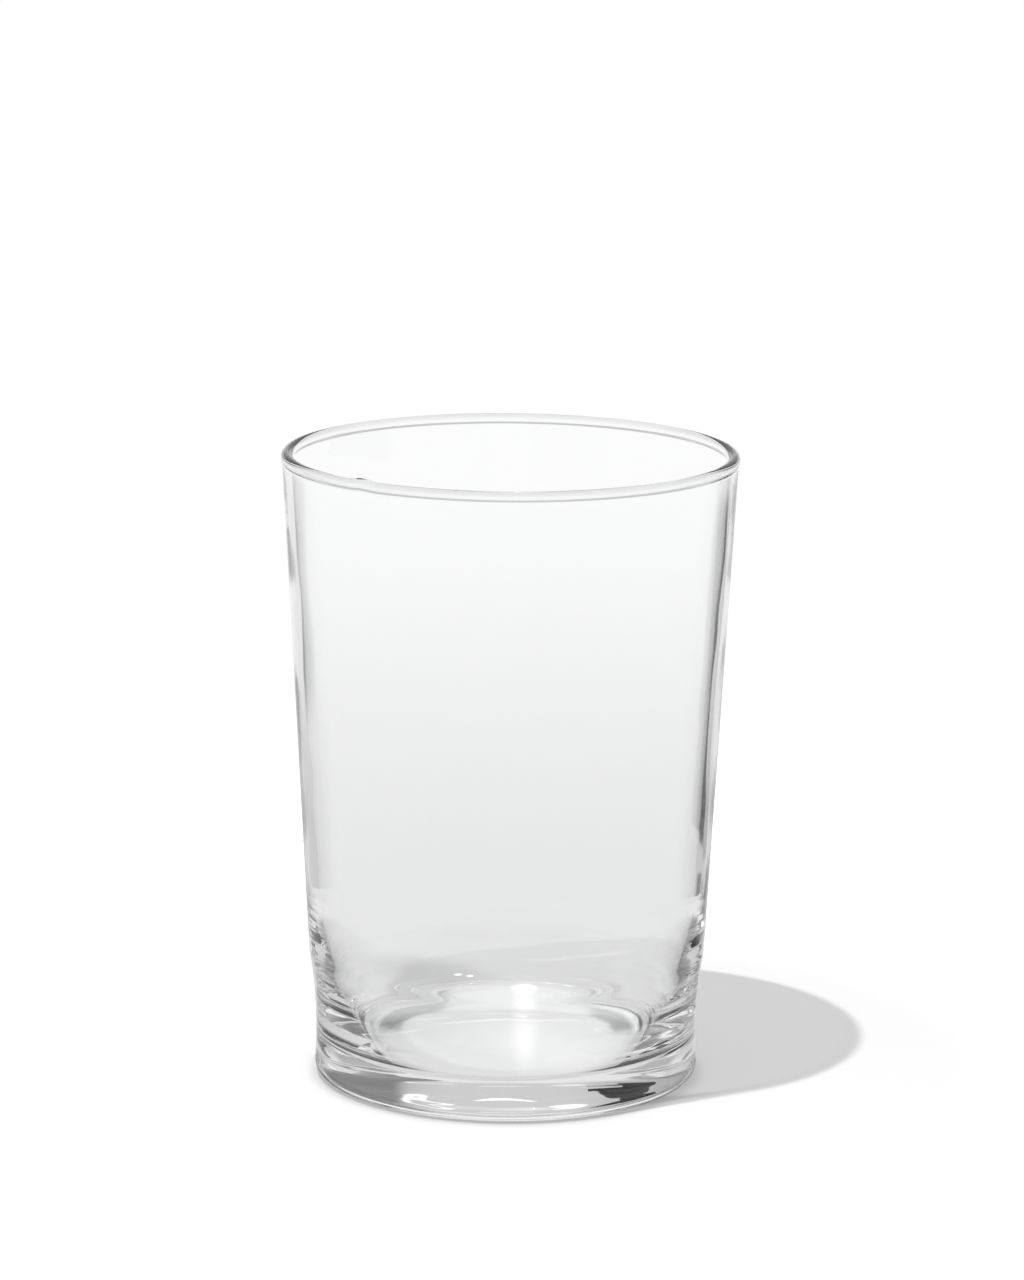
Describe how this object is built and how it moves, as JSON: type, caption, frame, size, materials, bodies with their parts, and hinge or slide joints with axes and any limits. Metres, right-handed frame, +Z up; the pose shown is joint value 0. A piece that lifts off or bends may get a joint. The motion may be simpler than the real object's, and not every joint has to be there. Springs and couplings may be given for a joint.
{
  "type": "juice glass",
  "caption": "Clear glass tumbler with a straight tapered wall, rounded rim bead, shallow waist and thick base, for holding a cold drink.",
  "frame": {"origin": "centre of the ring that the glass stands on, at table height", "axes": "+Z up along the glass's axis, from the base to the rim; the glass is round about it, so X and Y are free"},
  "size_m": [0.0714, 0.0714, 0.1],
  "materials": {
    "clear_glass": "clear, fire-polished"
  },
  "bodies": {
    "root": {"tumbler": "clear_glass"}
  },
  "joints": []
}
